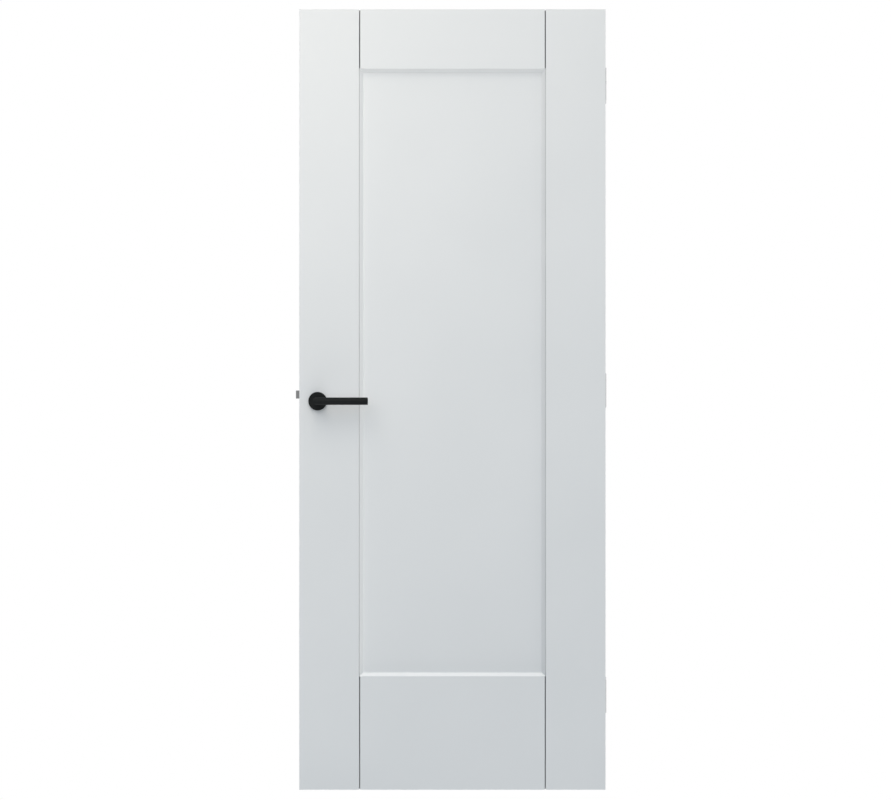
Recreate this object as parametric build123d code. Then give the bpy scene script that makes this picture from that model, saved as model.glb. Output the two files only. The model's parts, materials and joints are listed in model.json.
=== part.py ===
from build123d import *
import math
import os

# Panelled interior door leaf with a latch lock, two lever handles and three butt hinges.
# Millimetres. X runs to the right along the leaf, Y from the front to the back, Z up.
# The origin is the centre of the flat back of the lower hinge's frame-side plate.

# Leaf
leaf_width = 830.0
leaf_height = 2115.0
leaf_thickness = 40.0
stile_width = 162.0
top_rail_height = 160.0
bottom_rail_height = 307.0
edge_round = 0.8

# Joints between stiles, rails and panel
panel_thickness = 18.0
groove_depth = 10.0
groove_play = 0.2
groove_stop = 30.0
tenon_end_gap = 0.5
panel_edge_gap = 2.0
shadow_groove_width = 3.0
shadow_groove_depth = 10.0

# Sloping beads round the panel
side_bead_width = 11.0
end_bead_width = 8.5
bead_flat_share = 0.09
bead_side_gap = 0.8

# Handles
spindle_height = 1053.0
spindle_backset = 50.0
spindle_side = 8.0
spindle_hold = 32.0
socket_play = 0.1
rose_radius = 25.0
rose_thickness = 8.0
rose_edge_round = 1.0
lever_radius = 10.0
lever_length = 138.0
lever_standoff = 45.0
lever_tip_round = 2.0
lever_end_gap = 0.5
lever_play = 0.1
lever_turn = 40.0
stile_hole_radius = 11.0
grub_radius = 2.5
grub_length = 5.0
grub_play = 0.05
grub_key_radius = 1.3
grub_key_depth = 2.0

# Latch lock
faceplate_width = 20.0
faceplate_height = 174.0
faceplate_thickness = 3.0
faceplate_screw_inset = 10.0
pocket_play = 0.2
case_depth = 78.0
case_above = 52.0
case_below = 46.0
case_wall = 1.2
mortise_play = 0.7
latch_thickness = 12.0
latch_height = 22.0
latch_rise = 18.0
latch_throw = 11.5
latch_head_inside = 28.0
latch_nose_flat = 2.5
latch_play = 0.6
latch_window_play = 0.3
tail_thickness = 8.0
tail_bottom = 13.5
tail_top = 30.0
tail_end = 58.0
notch_top = 23.0
notch_play = 0.6
hub_radius = 8.5
arm_thickness = 8.0
arm_width = 3.4
arm_tip_radius = 3.0

# Hinges
lower_hinge_height = 250.0
upper_hinge_drop = 200.0
hinge_height = 89.0
hinge_plate_thickness = 2.0
hinge_gap = 1.5
hinge_plate_reach = 27.0
knuckle_radius = 6.0
knuckle_count = 5
knuckle_gap = 0.4
knuckle_offset = 6.5
pin_radius = 3.5
pin_play = 0.05
pin_cap_height = 3.0
pin_cap_round = 1.5

# Screws
screw_shank_radius = 2.4
screw_head_radius = 4.3
screw_length = 28.0
screw_hole_radius = 2.6
screw_pilot_play = 0.1
screw_head_sink = 1.4
screw_slot_width = 1.0
screw_slot_depth = 0.7
outer_screw_spacing = 66.0
inner_screw_spacing = 30.0
screw_row_offset = 5.0

# Places worked out from the sizes
hinge_edge_x = -(hinge_plate_thickness + hinge_gap)
lock_edge_x = hinge_edge_x - leaf_width
back_y = hinge_plate_reach / 2
front_y = back_y - leaf_thickness
middle_y = back_y - leaf_thickness / 2
bottom_z = -lower_hinge_height
top_z = bottom_z + leaf_height
lock_stile_inner_x = lock_edge_x + stile_width
hinge_stile_inner_x = hinge_edge_x - stile_width
opening_top_z = top_z - top_rail_height
opening_bottom_z = bottom_z + bottom_rail_height
recess_depth = (leaf_thickness - panel_thickness) / 2
spindle_x = lock_edge_x + spindle_backset
spindle_z = bottom_z + spindle_height
knuckle_x = -(hinge_plate_thickness + hinge_gap / 2)
knuckle_y = back_y + knuckle_offset
hinge_heights = {
    "lower": 0.0,
    "middle": (top_z - upper_hinge_drop) / 2,
    "upper": top_z - upper_hinge_drop,
}
latch_z = spindle_z + latch_rise
arm_lean = lever_turn / 2
arm_radius = latch_throw / (2 * math.sin(math.radians(arm_lean)))


def block(x_span, y_span, z_span):
    """Box between two values along each axis."""
    size = [span[1] - span[0] for span in (x_span, y_span, z_span)]
    centre = [(span[1] + span[0]) / 2 for span in (x_span, y_span, z_span)]
    return Pos(*centre) * Box(*size)


def rod_x(x_span, y, z, radius):
    """Round bar along X."""
    start = Plane(origin=(x_span[0], y, z), z_dir=(1, 0, 0))
    return extrude(start * Circle(radius), x_span[1] - x_span[0])


def rod_y(x, y_span, z, radius):
    """Round bar along Y."""
    start = Plane(origin=(x, y_span[0], z), z_dir=(0, 1, 0))
    return extrude(start * Circle(radius), y_span[1] - y_span[0])


def rod_z(x, y, z_span, radius):
    """Round bar along Z."""
    start = Plane(origin=(x, y, z_span[0]), z_dir=(0, 0, 1))
    return extrude(start * Circle(radius), z_span[1] - z_span[0])


def prism_xy(points, z_span):
    """Outline in plan, raised between two heights."""
    outline = make_face(Polyline(*[(x, y, z_span[0]) for x, y in points], close=True))
    return extrude(outline, amount=z_span[1] - z_span[0], dir=(0, 0, 1))


def prism_xz(points, y_span):
    """Outline seen from the front, carried between two depths."""
    outline = make_face(Polyline(*[(x, y_span[0], z) for x, z in points], close=True))
    return extrude(outline, amount=y_span[1] - y_span[0], dir=(0, 1, 0))


def prism_yz(points, x_span):
    """Outline seen from the side, carried between two places along X."""
    outline = make_face(Polyline(*[(x_span[0], y, z) for y, z in points], close=True))
    return extrude(outline, amount=x_span[1] - x_span[0], dir=(1, 0, 0))


def one_side(point, direction, size):
    """Large block on the side of a point that the direction names."""
    return Plane(origin=point, z_dir=direction) * Pos(0, 0, size / 2) * Box(size, size, size)


def mirrored_to_back(shape):
    """The same piece on the other face of the leaf."""
    return mirror(shape, about=Plane.XZ.offset(-middle_y))


def in_place(shape):
    """A list of solids as one shape for a node."""
    return Compound(children=list(shape)) if isinstance(shape, (list, tuple)) else shape


# Stiles
groove_half = panel_thickness / 2 + groove_play


def stile(x_span, outer_x, groove_x_span):
    """Upright with its outer edges eased and a groove along its inner edge."""
    body = block(x_span, (front_y, back_y), (bottom_z, top_z))
    outer_edges = [
        edge for edge in body.edges().filter_by(Axis.Z)
        if abs(edge.center().X - outer_x) < 0.01
    ]
    body = fillet(outer_edges, edge_round)
    groove_y_span = (middle_y - groove_half, middle_y + groove_half)
    groove_z_span = (bottom_z + groove_stop, top_z - groove_stop)
    return body - block(groove_x_span, groove_y_span, groove_z_span)


lock_stile = stile(
    (lock_edge_x, lock_stile_inner_x),
    lock_edge_x,
    (lock_stile_inner_x - groove_depth, lock_stile_inner_x),
)
hinge_stile = stile(
    (hinge_stile_inner_x, hinge_edge_x),
    hinge_edge_x,
    (hinge_stile_inner_x, hinge_stile_inner_x + groove_depth),
)


# Rails
def rail(z_span, groove_z_span, tenon_z_span):
    """Cross piece with a tenon at each end, a panel groove and a shadow groove at each joint."""
    body = block((lock_stile_inner_x, hinge_stile_inner_x), (front_y, back_y), z_span)
    for joint_x in (lock_stile_inner_x, hinge_stile_inner_x - shadow_groove_width):
        joint_x_span = (joint_x, joint_x + shadow_groove_width)
        body -= block(joint_x_span, (front_y, front_y + shadow_groove_depth), z_span)
        body -= block(joint_x_span, (back_y - shadow_groove_depth, back_y), z_span)
    tenon_length = groove_depth - tenon_end_gap
    tenon_x_span = (lock_stile_inner_x - tenon_length, hinge_stile_inner_x + tenon_length)
    tenon_y_span = (middle_y - panel_thickness / 2, middle_y + panel_thickness / 2)
    body += block(tenon_x_span, tenon_y_span, tenon_z_span)
    groove_y_span = (middle_y - groove_half, middle_y + groove_half)
    return body - block(tenon_x_span, groove_y_span, groove_z_span)


tenon_outer_gap = groove_stop + tenon_end_gap
top_rail = rail(
    (opening_top_z, top_z),
    (opening_top_z, opening_top_z + groove_depth),
    (opening_top_z + groove_depth, top_z - tenon_outer_gap),
)
bottom_rail = rail(
    (bottom_z, opening_bottom_z),
    (opening_bottom_z - groove_depth, opening_bottom_z),
    (bottom_z + tenon_outer_gap, opening_bottom_z - groove_depth),
)

# Panel
panel_hold = groove_depth - panel_edge_gap
centre_panel = block(
    (lock_stile_inner_x - panel_hold, hinge_stile_inner_x + panel_hold),
    (middle_y - panel_thickness / 2, middle_y + panel_thickness / 2),
    (opening_bottom_z - panel_hold, opening_top_z + panel_hold),
)


# Beads
def bead_profile(width, gap):
    """Steps inward from the stile or rail paired with depth below the face of the leaf."""
    flat = bead_flat_share * width
    return [(gap, 0), (flat, 0), (width, recess_depth), (gap, recess_depth)]


def mitred(shape, corners):
    """Keep what lies inside an outline seen from the front."""
    return shape & prism_xz(corners, (front_y - 1, front_y + recess_depth + 1))


def end_bead(rail_z, way):
    """Bead along a rail; way is 1 or -1 along Z, from the rail towards the panel's middle."""
    profile = [
        (front_y + deep, rail_z + way * step) for step, deep in bead_profile(end_bead_width, 0)
    ]
    inner_z = rail_z + way * end_bead_width
    corners = [
        (lock_stile_inner_x, rail_z),
        (hinge_stile_inner_x, rail_z),
        (hinge_stile_inner_x - side_bead_width, inner_z),
        (lock_stile_inner_x + side_bead_width, inner_z),
    ]
    return mitred(prism_yz(profile, (lock_stile_inner_x, hinge_stile_inner_x)), corners)


def side_bead(stile_x, way):
    """Bead along a stile; way is 1 or -1 along X, from the stile towards the panel's middle."""
    profile = [
        (stile_x + way * step, front_y + deep)
        for step, deep in bead_profile(side_bead_width, bead_side_gap)
    ]
    inner_x = stile_x + way * side_bead_width
    corners = [
        (stile_x, opening_bottom_z),
        (stile_x, opening_top_z),
        (inner_x, opening_top_z - end_bead_width),
        (inner_x, opening_bottom_z + end_bead_width),
    ]
    return mitred(prism_xy(profile, (opening_bottom_z, opening_top_z)), corners)


front_bead_top = end_bead(opening_top_z, -1)
front_bead_bottom = end_bead(opening_bottom_z, 1)
front_bead_lock_side = side_bead(lock_stile_inner_x, 1)
front_bead_hinge_side = side_bead(hinge_stile_inner_x, -1)

# Rose on the front, with the hole that the lever turns in
front_rose = rod_y(spindle_x, (front_y - rose_thickness, front_y), spindle_z, rose_radius)
front_rose = fillet(front_rose.edges().sort_by(Axis.Y)[0], rose_edge_round)
front_rose -= rod_y(
    spindle_x, (front_y - rose_thickness, front_y), spindle_z, lever_radius + lever_play
)

# Front lever: a neck and a bar of the same round section that meet in a square corner
lever_y = front_y - lever_standoff
corner = (spindle_x, lever_y, spindle_z)
neck = rod_y(
    spindle_x, (lever_y - lever_radius, front_y - lever_end_gap), spindle_z, lever_radius
)
bar = rod_x(
    (spindle_x - lever_radius, spindle_x + lever_length), lever_y, spindle_z, lever_radius
)
bar = fillet(bar.edges().sort_by(Axis.X)[-1], lever_tip_round)
neck &= one_side(corner, (-1, 1, 0), 4 * lever_length)
bar &= one_side(corner, (1, -1, 0), 4 * lever_length)
socket_half = spindle_side / 2 + socket_play
socket = block(
    (spindle_x - socket_half, spindle_x + socket_half),
    (front_y - spindle_hold - lever_end_gap, front_y),
    (spindle_z - socket_half, spindle_z + socket_half),
)
grub_y = front_y - (lever_standoff + rose_thickness - lever_radius) / 2
grub_hole = rod_z(
    spindle_x, grub_y, (spindle_z - lever_radius - 1, spindle_z), grub_radius + grub_play
)
front_lever = neck + bar - socket - grub_hole

# Grub screw that holds the lever on the spindle
grub_z_span = (
    spindle_z - spindle_side / 2 - grub_length,
    spindle_z - spindle_side / 2,
)
front_grub = rod_z(spindle_x, grub_y, grub_z_span, grub_radius)
front_grub -= rod_z(
    spindle_x, grub_y, (grub_z_span[0], grub_z_span[0] + grub_key_depth), grub_key_radius
)

# Square spindle through both levers and the lock
spindle_half = spindle_side / 2
lever_spindle = block(
    (spindle_x - spindle_half, spindle_x + spindle_half),
    (front_y - spindle_hold, back_y + spindle_hold),
    (spindle_z - spindle_half, spindle_z + spindle_half),
)

# Lock case, open towards the faceplate
case_half = latch_thickness / 2 + latch_play + case_wall
case_x_span = (lock_edge_x + faceplate_thickness, lock_edge_x + faceplate_thickness + case_depth)
case_z_span = (spindle_z - case_below, spindle_z + case_above)
lock_case = block(case_x_span, (middle_y - case_half, middle_y + case_half), case_z_span)
lock_case -= block(
    (case_x_span[0], case_x_span[1] - case_wall),
    (middle_y - case_half + case_wall, middle_y + case_half - case_wall),
    (case_z_span[0] + case_wall, case_z_span[1] - case_wall),
)
lock_case -= rod_y(
    spindle_x, (middle_y - case_half, middle_y + case_half), spindle_z, hub_radius + lever_play
)

# Lock follower: a hub round the spindle with an arm that moves the latch bolt
lean = math.radians(arm_lean)
arm_tip_x = spindle_x - arm_radius * math.sin(lean)
arm_tip_z = spindle_z + arm_radius * math.cos(lean)
arm_y_span = (middle_y - arm_thickness / 2, middle_y + arm_thickness / 2)
arm_side_x = arm_width / 2 * math.cos(lean)
arm_side_z = arm_width / 2 * math.sin(lean)
arm = prism_xz(
    [
        (spindle_x - arm_side_x, spindle_z - arm_side_z),
        (spindle_x + arm_side_x, spindle_z + arm_side_z),
        (arm_tip_x + arm_side_x, arm_tip_z + arm_side_z),
        (arm_tip_x - arm_side_x, arm_tip_z - arm_side_z),
    ],
    arm_y_span,
)
lock_follower = rod_y(
    spindle_x, (middle_y - case_half, middle_y + case_half), spindle_z, hub_radius
)
lock_follower += arm + rod_y(arm_tip_x, arm_y_span, arm_tip_z, arm_tip_radius)
lock_follower -= block(
    (spindle_x - socket_half, spindle_x + socket_half),
    (middle_y - case_half, middle_y + case_half),
    (spindle_z - socket_half, spindle_z + socket_half),
)

# Latch bolt: a head sloped on its front side, and a tail with a notch for the arm
latch_front_y = middle_y - latch_thickness / 2
latch_back_y = middle_y + latch_thickness / 2
latch_z_span = (latch_z - latch_height / 2, latch_z + latch_height / 2)
latch_bolt = prism_xy(
    [
        (lock_edge_x + latch_head_inside, latch_front_y),
        (lock_edge_x + latch_head_inside, latch_back_y),
        (lock_edge_x - latch_throw, latch_back_y),
        (lock_edge_x - latch_throw, latch_back_y - latch_nose_flat),
        (lock_edge_x, latch_front_y),
    ],
    latch_z_span,
)
latch_bolt += block(
    (lock_edge_x + latch_head_inside, lock_edge_x + tail_end),
    (middle_y - tail_thickness / 2, middle_y + tail_thickness / 2),
    (spindle_z + tail_bottom, spindle_z + tail_top),
)
notch_half = arm_tip_radius + notch_play
latch_bolt -= block(
    (arm_tip_x - notch_half, arm_tip_x + notch_half),
    (middle_y - tail_thickness / 2, middle_y + tail_thickness / 2),
    (spindle_z + tail_bottom, spindle_z + notch_top),
)


# Countersunk screws along X, heads at the given place and shanks towards the given side
def screw(head_x, side, y, z, sink):
    """Screw with a slotted countersunk head; side is 1 or -1 along X."""
    radii = (screw_head_radius, screw_shank_radius)
    start = Plane(origin=(head_x, y, z), z_dir=(side, 0, 0))
    head = start * Pos(0, 0, sink / 2) * Cone(radii[0], radii[1], sink)
    shank = start * Pos(0, 0, screw_length / 2) * Cylinder(screw_shank_radius, screw_length)
    slot = start * Pos(0, 0, screw_slot_depth / 2) * Box(
        2 * screw_head_radius, screw_slot_width, screw_slot_depth
    )
    return head + shank - slot


def screw_hole(head_x, side, y, z, sink, depth):
    """Countersunk hole through a plate; side is 1 or -1 along X."""
    start = Plane(origin=(head_x, y, z), z_dir=(side, 0, 0))
    mouth_radius = screw_head_radius + screw_hole_radius - screw_shank_radius
    mouth = start * Pos(0, 0, sink / 2) * Cone(mouth_radius, screw_hole_radius, sink)
    return mouth + start * Pos(0, 0, depth / 2) * Cylinder(screw_hole_radius, depth)


def pilot_hole(head_x, side, y, z):
    """Hole in the wood for a screw's shank."""
    start = Plane(origin=(head_x, y, z), z_dir=(side, 0, 0))
    depth = screw_length + 1
    return start * Pos(0, 0, depth / 2) * Cylinder(screw_shank_radius + screw_pilot_play, depth)


# Faceplate with rounded ends, a window for the latch bolt and two screws
faceplate_z = (case_z_span[0] + case_z_span[1]) / 2
faceplate_end = faceplate_height / 2 - faceplate_width / 2


def plate_with_round_ends(x_span, half_width, end_offset):
    """Upright plate whose ends are half circles."""
    middle = block(
        x_span,
        (middle_y - half_width, middle_y + half_width),
        (faceplate_z - end_offset, faceplate_z + end_offset),
    )
    ends = [rod_x(x_span, middle_y, faceplate_z + end, half_width) for end in (-end_offset, end_offset)]
    return middle + ends[0] + ends[1]


faceplate_x_span = (lock_edge_x, lock_edge_x + faceplate_thickness)
lock_faceplate = plate_with_round_ends(faceplate_x_span, faceplate_width / 2, faceplate_end)
lock_faceplate -= block(
    faceplate_x_span,
    (latch_front_y - latch_window_play, latch_back_y + latch_window_play),
    (latch_z_span[0] - latch_window_play, latch_z_span[1] + latch_window_play),
)
faceplate_screw_step = faceplate_height / 2 - faceplate_screw_inset
faceplate_screw_heights = (faceplate_z - faceplate_screw_step, faceplate_z + faceplate_screw_step)
faceplate_screws = []
for screw_z in faceplate_screw_heights:
    lock_faceplate -= screw_hole(
        lock_edge_x, 1, middle_y, screw_z, screw_head_sink, faceplate_thickness
    )
    faceplate_screws.append(screw(lock_edge_x, 1, middle_y, screw_z, screw_head_sink))

# Lock stile: pocket for the faceplate, mortise for the case, holes for spindle and screws
lock_stile -= plate_with_round_ends(
    faceplate_x_span, faceplate_width / 2 + pocket_play, faceplate_end
)
lock_stile -= block(
    (lock_edge_x, case_x_span[1] + mortise_play),
    (middle_y - case_half - mortise_play, middle_y + case_half + mortise_play),
    (case_z_span[0] - mortise_play, case_z_span[1] + mortise_play),
)
lock_stile -= rod_y(spindle_x, (front_y, back_y), spindle_z, stile_hole_radius)
for screw_z in faceplate_screw_heights:
    lock_stile -= pilot_hole(lock_edge_x, 1, middle_y, screw_z)

# Hinges
knuckle_pitch = hinge_height / knuckle_count


def screw_places(side):
    """Four holes in two rows; side is 1 or -1 along Y, so no two screw heads meet when closed."""
    outer_row = [(side * screw_row_offset, way * outer_screw_spacing / 2) for way in (-1, 1)]
    inner_row = [(-side * screw_row_offset, way * inner_screw_spacing / 2) for way in (-1, 1)]
    return outer_row + inner_row


frame_plate_holes = screw_places(1)
leaf_plate_holes = screw_places(-1)


def hinge_plate(x_span, face_x, side, z, first_knuckle, holes):
    """Flat plate with every other knuckle of the hinge, and its screw holes."""
    z_span = (z - hinge_height / 2, z + hinge_height / 2)
    plate = block(x_span, (back_y - hinge_plate_reach, back_y), z_span)
    for number in range(first_knuckle, knuckle_count, 2):
        low_z = z_span[0] + number * knuckle_pitch + knuckle_gap / 2
        high_z = low_z + knuckle_pitch - knuckle_gap
        plate += block(x_span, (back_y, knuckle_y), (low_z, high_z))
        plate += rod_z(knuckle_x, knuckle_y, (low_z, high_z), knuckle_radius)
    plate -= rod_z(knuckle_x, knuckle_y, z_span, pin_radius + pin_play)
    for y, step in holes:
        plate -= screw_hole(face_x, side, y, z + step, screw_head_sink, hinge_plate_thickness)
    return plate


def hinge_pin(z):
    """Pin through the knuckles with a low round cap at each end."""
    half = hinge_height / 2
    pin = rod_z(knuckle_x, knuckle_y, (z - half, z + half), pin_radius)
    for start in (z + half, z - half - pin_cap_height):
        cap = rod_z(knuckle_x, knuckle_y, (start, start + pin_cap_height), knuckle_radius)
        rims = cap.edges().sort_by(Axis.Z)
        pin += fillet(rims[-1] if start > z else rims[0], pin_cap_round)
    return pin


nodes = {
    "lock_stile": lock_stile,
    "top_rail": top_rail,
    "bottom_rail": bottom_rail,
    "centre_panel": centre_panel,
    "front_bead_top": front_bead_top,
    "front_bead_bottom": front_bead_bottom,
    "front_bead_lock_side": front_bead_lock_side,
    "front_bead_hinge_side": front_bead_hinge_side,
    "back_bead_top": mirrored_to_back(front_bead_top),
    "back_bead_bottom": mirrored_to_back(front_bead_bottom),
    "back_bead_lock_side": mirrored_to_back(front_bead_lock_side),
    "back_bead_hinge_side": mirrored_to_back(front_bead_hinge_side),
    "front_rose": front_rose,
    "back_rose": mirrored_to_back(front_rose),
    "front_lever": front_lever,
    "back_lever": mirrored_to_back(front_lever),
    "lever_grub_screws": [front_grub, mirrored_to_back(front_grub)],
    "lever_spindle": lever_spindle,
    "lock_follower": lock_follower,
    "lock_case": lock_case,
    "lock_faceplate": lock_faceplate,
    "faceplate_screws": faceplate_screws,
    "latch_bolt": latch_bolt,
}

leaf_plate_x_span = (hinge_edge_x - hinge_plate_thickness, hinge_edge_x)
for name, height in hinge_heights.items():
    nodes[name + "_hinge_frame_plate"] = hinge_plate(
        (-hinge_plate_thickness, 0), -hinge_plate_thickness, 1, height, 0, frame_plate_holes
    )
    nodes[name + "_hinge_leaf_plate"] = hinge_plate(
        leaf_plate_x_span, hinge_edge_x, -1, height, 1, leaf_plate_holes
    )
    nodes[name + "_hinge_pin"] = hinge_pin(height)
    nodes[name + "_hinge_screws"] = [
        screw(hinge_edge_x, -1, y, height + step, screw_head_sink) for y, step in leaf_plate_holes
    ]
    hinge_stile -= block(
        leaf_plate_x_span,
        (back_y - hinge_plate_reach - pocket_play, back_y),
        (height - hinge_height / 2 - pocket_play, height + hinge_height / 2 + pocket_play),
    )
    for y, step in leaf_plate_holes:
        hinge_stile -= pilot_hole(hinge_edge_x, -1, y, height + step)
nodes["hinge_stile"] = hinge_stile

# One file for each node
os.makedirs("parts", exist_ok=True)
for name, shape in nodes.items():
    export_step(in_place(shape), "parts/" + name + ".step")
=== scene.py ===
import json
import math

import bpy
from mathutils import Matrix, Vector


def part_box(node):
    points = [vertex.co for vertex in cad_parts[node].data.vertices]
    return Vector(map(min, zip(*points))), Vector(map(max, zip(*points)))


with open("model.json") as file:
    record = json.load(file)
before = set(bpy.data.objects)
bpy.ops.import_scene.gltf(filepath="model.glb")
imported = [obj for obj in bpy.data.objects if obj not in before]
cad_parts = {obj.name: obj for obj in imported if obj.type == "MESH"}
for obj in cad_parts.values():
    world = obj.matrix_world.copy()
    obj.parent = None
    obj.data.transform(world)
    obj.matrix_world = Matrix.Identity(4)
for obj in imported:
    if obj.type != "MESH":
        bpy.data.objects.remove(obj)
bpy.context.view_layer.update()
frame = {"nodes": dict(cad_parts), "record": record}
nodes = frame["nodes"]

# The photograph's frame and where the leaf stands in it
image_width = 891
image_height = 800
leaf_left_px = 299.3
leaf_right_px = 605.6
leaf_top_px = 9.0
leaf_bottom_px = 790.0
camera_distance = 4.03
sensor_width = 36.0

# Lights: power in watts for red, green and blue, sizes and places in metres from the middle of
# the leaf's front, and the place that each points at
area_lights = {
    "high_light": {
        "power": (32.5, 29.4, 23.9), "size": 2.5, "place": (-1.0, -2.0, 3.2), "aim": (0.0, 0.0, 0.3)
    },
    "middle_light": {
        "power": (19.6, 18.1, 16.7), "size": 2.0, "place": (-1.2, -2.4, 1.3), "aim": (0.0, 0.0, 0.4)
    },
    "key_light": {
        "power": (2.5, 2.5, 2.5), "size": 0.45, "place": (-1.3, -1.6, 2.1), "aim": (-0.3, 0.0, 0.0)
    },
}
# World light: red, green and blue strength of the light that grows towards one side; a larger
# focus keeps it nearer to that side
world_lights = {
    "above": {"towards": (0.0, 0.0, 1.0), "strength": (0.07, 0.03, 0.0), "focus": 1.0},
    "above_front": {"towards": (0.0, -0.6, 0.8), "strength": (0.13, 0.28, 0.47), "focus": 1.0},
    "high_front": {"towards": (0.0, -0.26, 0.966), "strength": (2.18, 1.97, 1.72), "focus": 8.0},
    "below": {"towards": (0.0, 0.0, -1.0), "strength": (3.08, 3.07, 3.1), "focus": 8.0},
    "right": {"towards": (1.0, 0.0, 0.0), "strength": (0.69, 0.64, 0.61), "focus": 1.0},
    "right_front": {"towards": (0.75, -0.66, 0.0), "strength": (0.13, 0.14, 0.09), "focus": 1.0},
    "behind": {"towards": (0.0, 0.8, -0.6), "strength": (0.88, 0.92, 0.93), "focus": 1.0},
}

# Joint gaps between rails and stiles: half of their width, how far past each wall the painted shade
# reaches, how far in from the leaf's faces and ends the painted shade stops, and how much of the
# paint's colour the painted shade in the gaps keeps, at the leaf's bottom and at its top
gap_half = 0.0015
wall_reach = 0.0001
shade_face_margin = 0.0012
low_painted_shade = 0.62
high_painted_shade = 0.3

# Materials: colours, roughness from smooth to rough, noise scales in turns for each metre, and
# bumps by their height in metres and their strength
paint_colours = ((0.775, 0.79, 0.8), (0.79, 0.803, 0.812))
paint_roughness = (0.42, 0.5)
paint_ior = 1.5
paint_broad_scale = 3.0
paint_wave_scale = 60.0
paint_wave_bump = (0.0002, 0.25)
paint_peel_scale = 420.0
paint_peel_bump = (0.00004, 0.3)
coat_colours = ((0.006, 0.0075, 0.008), (0.0085, 0.01, 0.0105))
coat_roughness = (0.5, 0.62)
coat_ior = 1.21
coat_broad_scale = 40.0
coat_grain_scale = 2600.0
coat_grain_bump = (0.00003, 0.5)
brush_scale = 60.0
brush_detail = 4.0
brush_roughness = 0.6
brush_bump = (0.00002, 0.35)
metal_cloud_scale = 25.0
# Metals: the squeeze packs the brush lines closer along X, Y and Z. Screws are turned and plated,
# so their lines are the same all ways
metals = {
    "dark_screw": {
        "colours": ((0.03, 0.03, 0.032), (0.05, 0.05, 0.052)),
        "roughness": (0.4, 0.5),
        "squeeze": (20.0, 20.0, 20.0),
    },
    "lock_steel": {
        "colours": ((0.42, 0.42, 0.43), (0.56, 0.56, 0.57)),
        "roughness": (0.28, 0.4),
        "squeeze": (30.0, 30.0, 1.5),
    },
    "latch_metal": {
        "colours": ((0.17, 0.175, 0.18), (0.25, 0.255, 0.26)),
        "roughness": (0.3, 0.4),
        "squeeze": (2.0, 30.0, 30.0),
    },
    "hinge_steel": {
        "colours": ((0.5, 0.5, 0.51), (0.66, 0.66, 0.67)),
        "roughness": (0.26, 0.36),
        "squeeze": (30.0, 30.0, 1.5),
    },
    "screw_steel": {
        "colours": ((0.38, 0.38, 0.37), (0.46, 0.46, 0.45)),
        "roughness": (0.3, 0.42),
        "squeeze": (4.0, 4.0, 4.0),
    },
}
# Every noise has this detail if nothing else is said, and most of its values lie between these two
noise_detail = 2.0
noise_low = 0.3
noise_high = 0.7

# Floor and surroundings
floor_gap = 0.012
floor_half = 6.0
dome_radius = 30.0
dome_rings = 12
dome_sectors = 24
white_level = 1.0

# Leaf's middle and half sizes, and the middles of the joint gaps
stile_low, stile_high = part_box("lock_stile")
other_low, other_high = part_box("hinge_stile")
leaf_left = stile_low.x
leaf_right = other_high.x
leaf_front = stile_low.y
leaf_bottom = stile_low.z
leaf_top = stile_high.z
depth_middle = (stile_low.y + stile_high.y) / 2
depth_half = (stile_high.y - stile_low.y) / 2
height_middle = (leaf_bottom + leaf_top) / 2
height_half = (leaf_top - leaf_bottom) / 2
left_gap_x = stile_high.x + gap_half
right_gap_x = other_low.x - gap_half


def new_material(name):
    """A material with an empty node tree, its output node and a shader joined to it."""
    material = bpy.data.materials.new(name)
    material.use_nodes = True
    tree = material.node_tree
    tree.nodes.clear()
    output = tree.nodes.new("ShaderNodeOutputMaterial")
    shader = tree.nodes.new("ShaderNodeBsdfPrincipled")
    tree.links.new(shader.outputs["BSDF"], output.inputs["Surface"])
    return material, tree, shader


def object_coordinates(tree, scale=(1.0, 1.0, 1.0)):
    """The object's own coordinates, scaled."""
    source = tree.nodes.new("ShaderNodeTexCoord")
    mapping = tree.nodes.new("ShaderNodeMapping")
    mapping.inputs["Scale"].default_value = scale
    tree.links.new(source.outputs["Object"], mapping.inputs["Vector"])
    return mapping.outputs["Vector"]


def noise(tree, vector, scale, detail=noise_detail, roughness=0.5):
    """Value of a noise texture."""
    texture = tree.nodes.new("ShaderNodeTexNoise")
    texture.inputs["Scale"].default_value = scale
    texture.inputs["Detail"].default_value = detail
    texture.inputs["Roughness"].default_value = roughness
    tree.links.new(vector, texture.inputs["Vector"])
    return texture.outputs["Fac"]


def spread(tree, value, value_range, result_range):
    """A value in one range taken to the same place in another range."""
    node = tree.nodes.new("ShaderNodeMapRange")
    node.inputs["From Min"].default_value = value_range[0]
    node.inputs["From Max"].default_value = value_range[1]
    node.inputs["To Min"].default_value = result_range[0]
    node.inputs["To Max"].default_value = result_range[1]
    tree.links.new(value, node.inputs["Value"])
    return node.outputs["Result"]


def roughness_from(tree, shader, value, roughness_range):
    """Roughness that a noise moves within a range."""
    rough = spread(tree, value, (noise_low, noise_high), roughness_range)
    tree.links.new(rough, shader.inputs["Roughness"])


def between(tree, value, colours):
    """A colour between two colours, by a noise."""
    ramp = tree.nodes.new("ShaderNodeValToRGB")
    for element, position, colour in zip(
        ramp.color_ramp.elements, (noise_low, noise_high), colours
    ):
        element.position = position
        element.color = (*colour, 1.0)
    tree.links.new(value, ramp.inputs["Fac"])
    return ramp.outputs["Color"]


def bump(tree, shader, height, size, after=None):
    """Bump from a height and its size; after is the normal of a bump under this one."""
    distance, strength = size
    node = tree.nodes.new("ShaderNodeBump")
    node.inputs["Strength"].default_value = strength
    node.inputs["Distance"].default_value = distance
    tree.links.new(height, node.inputs["Height"])
    if after:
        tree.links.new(after, node.inputs["Normal"])
    tree.links.new(node.outputs["Normal"], shader.inputs["Normal"])
    return node.outputs["Normal"]


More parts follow.
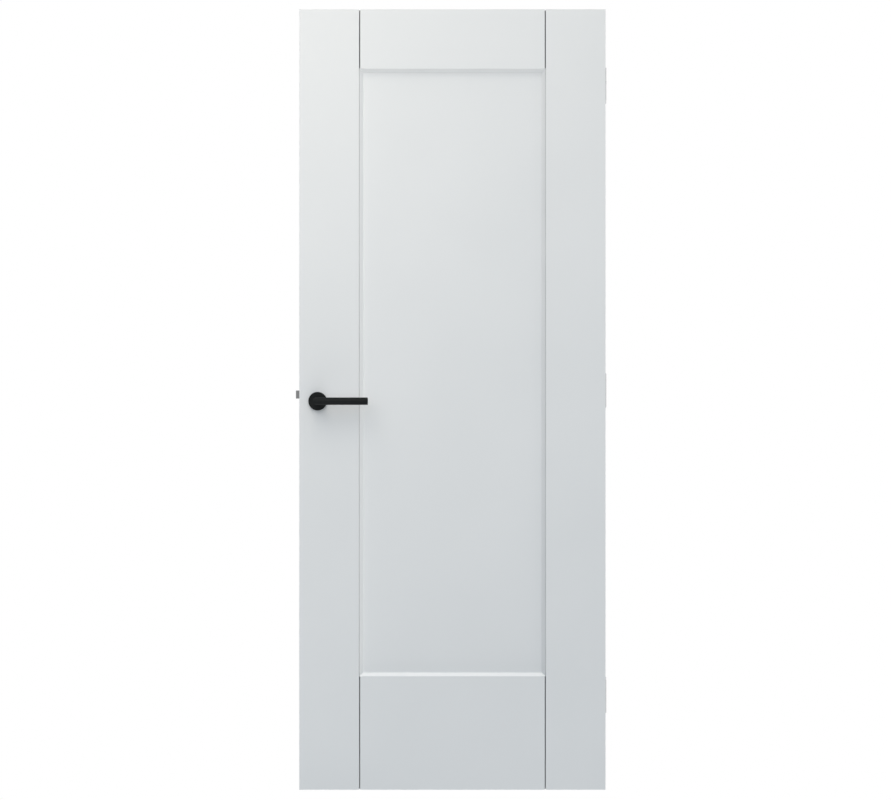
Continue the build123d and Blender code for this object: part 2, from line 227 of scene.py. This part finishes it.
def calculate(tree, operation, first, second=0.0):
    """A math node; each input is a socket or a number."""
    node = tree.nodes.new("ShaderNodeMath")
    node.operation = operation
    for slot, value in zip(node.inputs, (first, second)):
        if isinstance(value, float):
            slot.default_value = value
        else:
            tree.links.new(value, slot)
    return node.outputs["Value"]


def near(tree, value, centre, reach):
    """1 where a value lies within reach of a centre, otherwise 0."""
    away = calculate(tree, "ABSOLUTE", calculate(tree, "SUBTRACT", value, centre))
    return calculate(tree, "LESS_THAN", away, reach)


def add_painted_gap_shade(tree, place, colour):
    """The colour with painted shade inside the narrow joint gaps, away from the leaf's faces and
    ends.
    """
    axes = tree.nodes.new("ShaderNodeSeparateXYZ")
    tree.links.new(place, axes.inputs["Vector"])
    in_gap = calculate(
        tree,
        "MAXIMUM",
        near(tree, axes.outputs["X"], left_gap_x, gap_half + wall_reach),
        near(tree, axes.outputs["X"], right_gap_x, gap_half + wall_reach),
    )
    in_depth = near(tree, axes.outputs["Y"], depth_middle, depth_half - shade_face_margin)
    in_height = near(tree, axes.outputs["Z"], height_middle, height_half - shade_face_margin)
    painted_shade_mask = calculate(tree, "MULTIPLY", in_gap, calculate(tree, "MULTIPLY", in_depth, in_height))
    # Painted shade, lighter towards the leaf's bottom than at its top
    shade = spread(
        tree, axes.outputs["Z"], (leaf_bottom, leaf_top), (low_painted_shade, high_painted_shade)
    )
    mix = tree.nodes.new("ShaderNodeMix")
    mix.data_type = "RGBA"
    mix.blend_type = "MULTIPLY"
    tree.links.new(painted_shade_mask, mix.inputs["Factor"])
    tree.links.new(colour, mix.inputs["A"])
    tree.links.new(shade, mix.inputs["B"])
    return mix.outputs["Result"]


def white_paint(name, with_gap_shade):
    """Satin paint, sprayed: a fine peel and hardly any change of colour."""
    material, tree, shader = new_material(name)
    place = object_coordinates(tree)
    broad = noise(tree, place, paint_broad_scale)
    peel = noise(tree, place, paint_peel_scale)
    wave = noise(tree, place, paint_wave_scale)
    colour = between(tree, broad, paint_colours)
    if with_gap_shade:
        # Painted shade inside the joint gaps between rails and stiles
        colour = add_painted_gap_shade(tree, place, colour)
    tree.links.new(colour, shader.inputs["Base Color"])
    roughness_from(tree, shader, broad, paint_roughness)
    under = bump(tree, shader, wave, paint_wave_bump)
    bump(tree, shader, peel, paint_peel_bump, under)
    shader.inputs["IOR"].default_value = paint_ior
    return material


def black_coat():
    """Matte black powder coat with a fine grain."""
    material, tree, shader = new_material("black_coat")
    place = object_coordinates(tree)
    grain = noise(tree, place, coat_grain_scale)
    broad = noise(tree, place, coat_broad_scale)
    tree.links.new(between(tree, broad, coat_colours), shader.inputs["Base Color"])
    roughness_from(tree, shader, grain, coat_roughness)
    bump(tree, shader, grain, coat_grain_bump)
    shader.inputs["IOR"].default_value = coat_ior
    return material


def brushed_metal(name):
    """Metal with fine brush lines."""
    metal = metals[name]
    material, tree, shader = new_material(name)
    squeezed = object_coordinates(tree, metal["squeeze"])
    lines = noise(tree, squeezed, brush_scale, brush_detail, brush_roughness)
    cloud = noise(tree, object_coordinates(tree), metal_cloud_scale)
    tree.links.new(between(tree, lines, metal["colours"]), shader.inputs["Base Color"])
    roughness_from(tree, shader, cloud, metal["roughness"])
    bump(tree, shader, lines, brush_bump)
    shader.inputs["Metallic"].default_value = 1.0
    return material


finishes = {name: brushed_metal(name) for name in metals}
finishes["white_paint"] = white_paint("white_paint", False)
finishes["black_handle"] = black_coat()
# Stiles and rails: the paint with painted shade inside their joint gaps
paint_with_gap_shade = white_paint("white_paint_painted_gap_shade", True)
slot_of = {row["node"]: row["material_slot"] for row in frame["record"]["subparts"]}
for name, node in nodes.items():
    if name in ("lock_stile", "hinge_stile", "top_rail", "bottom_rail"):
        finish = paint_with_gap_shade
    elif name.endswith("hinge_screws") or name == "faceplate_screws":
        finish = finishes["screw_steel"]
    else:
        finish = finishes[slot_of[name]]
    node.data.materials.clear()
    node.data.materials.append(finish)


def area_light(name, power, size, place, aim):
    """Square soft light that points at a place; power is its watts of red, green and blue."""
    strongest = max(power)
    data = bpy.data.lights.new(name, "AREA")
    data.shape = "SQUARE"
    data.size = size
    data.energy = strongest
    data.color = [part / strongest for part in power]
    lamp = bpy.data.objects.new(name, data)
    lamp.location = place
    lamp.rotation_mode = "QUATERNION"
    lamp.rotation_quaternion = (Vector(aim) - Vector(place)).to_track_quat("-Z", "Y")
    bpy.context.scene.collection.objects.link(lamp)


middle = Vector(((leaf_left + leaf_right) / 2, leaf_front, height_middle))

for name, lamp in area_lights.items():
    place = middle + Vector(lamp["place"])
    area_light(name, lamp["power"], lamp["size"], place, middle + Vector(lamp["aim"]))

# World light: soft, from all round, and stronger from some sides
world = bpy.data.worlds.new("studio")
bpy.context.scene.world = world
world.use_nodes = True
world_tree = world.node_tree
world_direction = world_tree.nodes.new("ShaderNodeTexCoord").outputs["Generated"]
world_total = None
for part in world_lights.values():
    towards = world_tree.nodes.new("ShaderNodeVectorMath")
    towards.operation = "DOT_PRODUCT"
    towards.inputs[1].default_value = part["towards"]
    world_tree.links.new(world_direction, towards.inputs[0])
    above_zero = world_tree.nodes.new("ShaderNodeClamp")
    world_tree.links.new(towards.outputs["Value"], above_zero.inputs["Value"])
    narrowed = calculate(world_tree, "POWER", above_zero.outputs["Result"], part["focus"])
    scaled = world_tree.nodes.new("ShaderNodeVectorMath")
    scaled.operation = "SCALE"
    scaled.inputs["Vector"].default_value = part["strength"]
    world_tree.links.new(narrowed, scaled.inputs["Scale"])
    if world_total:
        added = world_tree.nodes.new("ShaderNodeVectorMath")
        added.operation = "ADD"
        world_tree.links.new(world_total, added.inputs[0])
        world_tree.links.new(scaled.outputs["Vector"], added.inputs[1])
        world_total = added.outputs["Vector"]
    else:
        world_total = scaled.outputs["Vector"]
world_tree.links.new(world_total, world_tree.nodes["Background"].inputs["Color"])


def glowing(name):
    """Plain white surface that shines as bright as the picture's white."""
    material = bpy.data.materials.new(name)
    material.use_nodes = True
    tree = material.node_tree
    tree.nodes.clear()
    output = tree.nodes.new("ShaderNodeOutputMaterial")
    shader = tree.nodes.new("ShaderNodeEmission")
    shader.inputs["Color"].default_value = (1.0, 1.0, 1.0, 1.0)
    shader.inputs["Strength"].default_value = white_level
    tree.links.new(shader.outputs["Emission"], output.inputs["Surface"])
    return material


def stage_mesh(name, vertices, faces, material):
    """Object for the surroundings, which casts no light on the leaf."""
    mesh = bpy.data.meshes.new(name)
    mesh.from_pydata(vertices, [], faces)
    mesh.materials.append(material)
    thing = bpy.data.objects.new(name, mesh)
    bpy.context.scene.collection.objects.link(thing)
    thing.visible_diffuse = False
    thing.visible_shadow = False


floor_z = leaf_bottom - floor_gap
stage_mesh(
    "floor",
    [
        (middle.x - floor_half, -floor_half, floor_z),
        (middle.x + floor_half, -floor_half, floor_z),
        (middle.x + floor_half, floor_half, floor_z),
        (middle.x - floor_half, floor_half, floor_z),
    ],
    [(0, 1, 2, 3)],
    glowing("floor_white"),
)

# Backdrop all round: a sphere of flat facets, far outside the lights
dome_vertices = []
for ring in range(dome_rings + 1):
    tilt = math.pi * ring / dome_rings
    for sector in range(dome_sectors):
        turn = 2 * math.pi * sector / dome_sectors
        dome_vertices.append(
            (
                middle.x + dome_radius * math.sin(tilt) * math.cos(turn),
                dome_radius * math.sin(tilt) * math.sin(turn),
                dome_radius * math.cos(tilt),
            )
        )
dome_faces = []
for ring in range(dome_rings):
    for sector in range(dome_sectors):
        following = (sector + 1) % dome_sectors
        dome_faces.append(
            (
                ring * dome_sectors + sector,
                ring * dome_sectors + following,
                (ring + 1) * dome_sectors + following,
                (ring + 1) * dome_sectors + sector,
            )
        )
stage_mesh("backdrop", dome_vertices, dome_faces, glowing("backdrop_white"))

# Camera: level and square to the leaf, placed so that the leaf fills the same part of the frame
metres_per_px = (leaf_right - leaf_left) / (leaf_right_px - leaf_left_px)
offset_x = (image_width / 2 - (leaf_left_px + leaf_right_px) / 2) * metres_per_px
offset_z = ((leaf_top_px + leaf_bottom_px) / 2 - image_height / 2) * metres_per_px
camera_data = bpy.data.cameras.new("camera")
camera_data.sensor_width = sensor_width
camera_data.lens = sensor_width * camera_distance / (image_width * metres_per_px)
camera = bpy.data.objects.new("camera", camera_data)
camera.location = middle + Vector((offset_x, -camera_distance, offset_z))
camera.rotation_euler = (math.pi / 2, 0.0, 0.0)
bpy.context.scene.collection.objects.link(camera)
bpy.context.scene.camera = camera
bpy.context.scene.view_settings.view_transform = "Standard"
